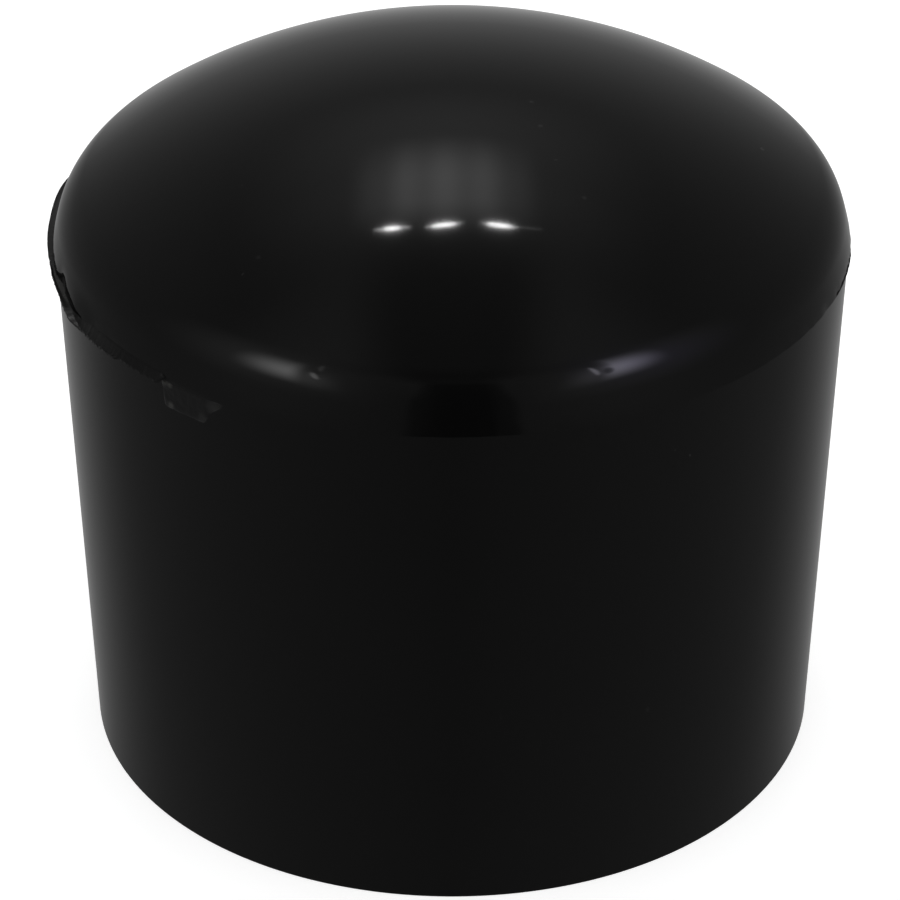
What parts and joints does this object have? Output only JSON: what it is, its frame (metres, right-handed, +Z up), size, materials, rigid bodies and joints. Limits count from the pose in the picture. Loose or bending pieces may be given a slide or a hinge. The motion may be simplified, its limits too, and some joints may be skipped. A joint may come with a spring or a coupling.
{
  "type": "tube end cap",
  "caption": "Domed black plastic cap that pushes over the end of a round tube and closes it, with a drafted skirt and an inner ledge as the stop.",
  "frame": {"origin": "centre of the bore in the plane of the rim, which is the lowest plane of the cap as it stands on its mouth", "axes": "+Z up the bore's axis towards the dome's crown, +X to the right, -Y to the front; the bore's mouth opens towards -Z"},
  "size_m": [0.0505, 0.0498, 0.0456],
  "materials": {
    "cap_plastic": "glossy moulded black polyethylene"
  },
  "bodies": {
    "root": {"end_cap": "cap_plastic"}
  },
  "joints": []
}
